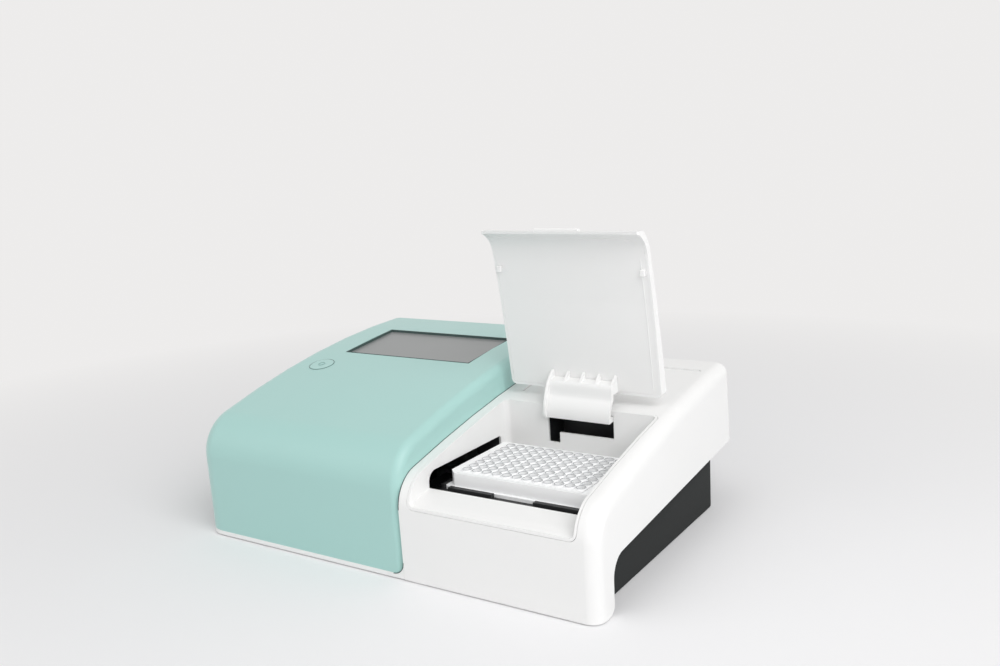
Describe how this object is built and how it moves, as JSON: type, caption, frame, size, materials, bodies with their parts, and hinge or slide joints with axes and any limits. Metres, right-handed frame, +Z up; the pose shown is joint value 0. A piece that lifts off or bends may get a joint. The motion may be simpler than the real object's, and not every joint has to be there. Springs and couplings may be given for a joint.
{
  "type": "microplate reader",
  "caption": "Benchtop microplate reader: green display housing beside a white plate bay with a swung-open lid and a sliding plate carrier.",
  "frame": {"origin": "centre of the body's footprint, on the table", "axes": "+X along the body's width, from the display side to the plate side; +Y from the front to the back; +Z up"},
  "size_m": [0.388, 0.282, 0.256],
  "materials": {
    "green_shell": "satin moulded plastic",
    "white_shell": "satin moulded plastic",
    "dark_pan": "fine textured powder coat",
    "rubber_black": "moulded rubber",
    "black_plastic": "matt moulded plastic",
    "screen_grey": "matt grey display window, switched off",
    "clear_plate": "translucent moulded plastic",
    "steel": "ground steel",
    "grey_metal": "grey painted steel",
    "alu": "machined aluminium",
    "board_green": "printed circuit board",
    "filter_glass": "coated optical glass",
    "lamp_glass": "clear quartz",
    "button_plastic": "satin moulded plastic"
  },
  "bodies": {
    "base": {"chassis": "dark_pan", "rubber_feet": "rubber_black", "plate_housing": "white_shell", "display_housing": "green_shell", "base_trim": "white_shell", "plate_bay": "white_shell", "service_cover": "white_shell", "hinge_pin": "steel", "hinge_housing": "black_plastic", "guide_rods": "steel", "rod_brackets": "grey_metal", "drive_belt": "rubber_black", "idler_post": "grey_metal", "carriage_motor": "grey_metal", "motor_bracket": "grey_metal", "optics_frame": "alu", "detector_head": "black_plastic", "illumination_block": "black_plastic", "lens_tube": "black_plastic", "filter_plate": "alu", "filter_motor": "steel", "lamp_housing": "alu", "lamp": "lamp_glass", "touch_panel": "screen_grey", "display_module": "black_plastic", "button_guide": "white_shell", "button_switch": "black_plastic", "mainboard": "board_green", "power_supply": "alu", "fan_frame": "black_plastic", "power_inlet": "black_plastic", "switch_bezel": "black_plastic", "data_ports": "steel", "chassis_screws": "steel", "passage_hood": "black_plastic"},
    "lid": {"lid_shell": "white_shell", "lid_liner": "white_shell", "hinge_arm": "white_shell"},
    "carriage": {"plate_carrier": "black_plastic", "carriage_bearings": "black_plastic", "microplate_frame": "clear_plate", "well_strips": "clear_plate"},
    "motor_pulley": {"drive_pulley": "alu"},
    "free_pulley": {"idler_pulley": "alu"},
    "filter_disc": {"filter_wheel": "black_plastic", "filter_glasses": "filter_glass"},
    "cooling_fan": {"fan_rotor": "black_plastic"},
    "button": {"power_button": "button_plastic"},
    "mains_rocker": {"rocker_switch": "black_plastic"}
  },
  "joints": [
    {"name": "lid_hinge", "type": "hinge", "parent": "base", "child": "lid", "pos_m": [0.1075, 0.014, 0.103], "axis": [1, 0, 0], "range_deg": [0, 90]},
    {"name": "carriage_slide", "type": "slide", "parent": "base", "child": "carriage", "axis": [-1, 0, 0], "range_m": [0, 0.15]},
    {"name": "motor_pulley_spin", "type": "hinge", "parent": "base", "child": "motor_pulley", "pos_m": [-0.16, -0.123, 0.047], "axis": [0, 1, 0], "range_deg": [-1300, 20]},
    {"name": "free_pulley_spin", "type": "hinge", "parent": "base", "child": "free_pulley", "pos_m": [0.156, -0.123, 0.047], "axis": [0, 1, 0], "range_deg": [-1300, 20]},
    {"name": "filter_disc_spin", "type": "hinge", "parent": "base", "child": "filter_disc", "pos_m": [-0.071, 0.055, 0.058], "axis": [1, 0, 0], "continuous": true},
    {"name": "fan_spin", "type": "hinge", "parent": "base", "child": "cooling_fan", "pos_m": [-0.042, 0.103, 0.0313], "axis": [0, 1, 0], "continuous": true},
    {"name": "button_press", "type": "slide", "parent": "base", "child": "button", "axis": [0, 0.1895, -0.9819], "range_m": [0, 0.0008], "stiffness_N_per_m": 300},
    {"name": "mains_rocker_tilt", "type": "hinge", "parent": "base", "child": "mains_rocker", "pos_m": [-0.122, 0.104, 0.025], "axis": [1, 0, 0], "range_deg": [-16, 0]}
  ],
  "couplings": [
    {"joint": "motor_pulley_spin", "follows": "carriage_slide", "rad_per_m": -149.25},
    {"joint": "free_pulley_spin", "follows": "carriage_slide", "rad_per_m": -149.25}
  ]
}
